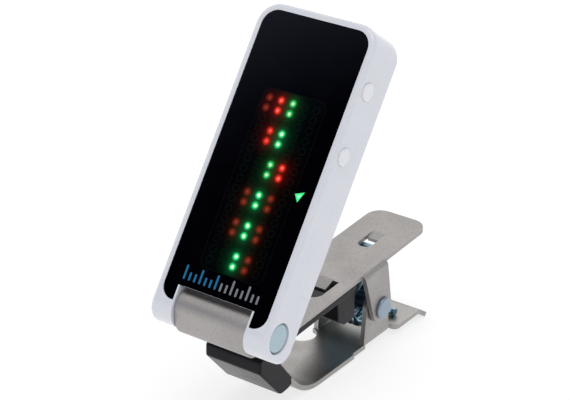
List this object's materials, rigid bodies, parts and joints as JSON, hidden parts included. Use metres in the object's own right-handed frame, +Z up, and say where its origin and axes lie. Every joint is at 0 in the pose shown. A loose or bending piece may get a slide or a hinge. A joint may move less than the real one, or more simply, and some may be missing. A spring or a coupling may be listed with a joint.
{
  "type": "clip-on instrument tuner",
  "caption": "Slim display head on a hinge at the front of a sprung sheet-metal clip, with rubber jaw pads, side buttons and a sliding battery door.",
  "frame": {"origin": "centre of the bounding box in plan, on the surface the clip stands on", "axes": "+Z up, +Y from the hinge knuckle towards the clip's thumb tabs, +X out of the side with the two round buttons"},
  "size_m": [0.0253, 0.0622, 0.0689],
  "materials": {
    "white_shell": "gloss, slightly bluish white",
    "white_door": "gloss with fine grip ribs",
    "black_window": "deep black, polished",
    "adhesive": "matt black tape",
    "black_mask": "matt",
    "led_body": "clear epoxy on a white base",
    "board": "green solder mask",
    "chip": "matt epoxy",
    "passive": "ceramic with tinned ends",
    "tinned_can": "bright tinned",
    "switch_body": "matt with a steel cover",
    "cell_steel": "satin nickel-plated",
    "contact_steel": "bright spring steel",
    "piezo_brass": "satin",
    "piezo_white": "fired silver on ceramic",
    "screw_steel": "bright zinc",
    "button_white": "satin gloss",
    "pin_steel": "bright bluish zinc",
    "washer": "matt acetal",
    "bush_plastic": "matt",
    "stainless": "satin rolled stainless",
    "rubber": "fine grain",
    "rivet_steel": "bright zinc",
    "spring_steel": "dark bluish zinc"
  },
  "bodies": {
    "lower_clip": {"lower_arm": "stainless", "lower_jaw_pad": "rubber", "pivot_rivet": "rivet_steel", "torsion_spring": "spring_steel"},
    "upper_clip": {"upper_arm": "stainless", "upper_pad": "rubber", "hinge_bush": "bush_plastic"},
    "head": {"front_housing": "white_shell", "rear_cover": "white_shell", "case_screws": "screw_steel", "display_lens": "black_window", "lens_tape": "adhesive", "light_mask": "black_mask", "matrix_leds": "led_body", "marker_led": "led_body", "circuit_board": "board", "microcontroller": "chip", "driver_chips": "chip", "small_parts": "passive", "crystal": "tinned_can", "tact_switches": "switch_body", "coin_cell": "cell_steel", "negative_contact": "contact_steel", "positive_contact": "contact_steel", "piezo_disc": "piezo_brass", "piezo_ceramic": "piezo_white", "hinge_pin": "pin_steel", "pin_cap": "pin_steel", "friction_washers": "washer"},
    "side_button_upper": {"side_button_upper": "button_white"},
    "side_button_lower": {"side_button_lower": "button_white"},
    "power_button": {"power_button": "button_white"},
    "battery_door": {"battery_door": "white_door"}
  },
  "joints": [
    {"name": "clip_hinge", "type": "hinge", "parent": "lower_clip", "child": "upper_clip", "pos_m": [0, 0.01432, 0.00863], "axis": [-1, 0, 0], "range_deg": [0, 28], "stiffness_Nm_per_rad": 0.25, "springref_deg": -34.38, "deforming": ["torsion_spring"]},
    {"name": "head_hinge", "type": "hinge", "parent": "upper_clip", "child": "head", "pos_m": [0, -0.02698, 0.02091], "axis": [1, 0, 0], "range_deg": [-48, 100]},
    {"name": "side_button_upper_press", "type": "slide", "parent": "head", "child": "side_button_upper", "axis": [-1, 0, 0], "range_m": [0, 0.0004], "stiffness_N_per_m": 200},
    {"name": "side_button_lower_press", "type": "slide", "parent": "head", "child": "side_button_lower", "axis": [-1, 0, 0], "range_m": [0, 0.0004], "stiffness_N_per_m": 200},
    {"name": "power_button_press", "type": "slide", "parent": "head", "child": "power_button", "axis": [0, -0.5548, -0.832], "range_m": [0, 0.0004], "stiffness_N_per_m": 200},
    {"name": "battery_door_slide", "type": "slide", "parent": "head", "child": "battery_door", "axis": [0, 0.5548, 0.832], "range_m": [0, 0.0315]}
  ]
}
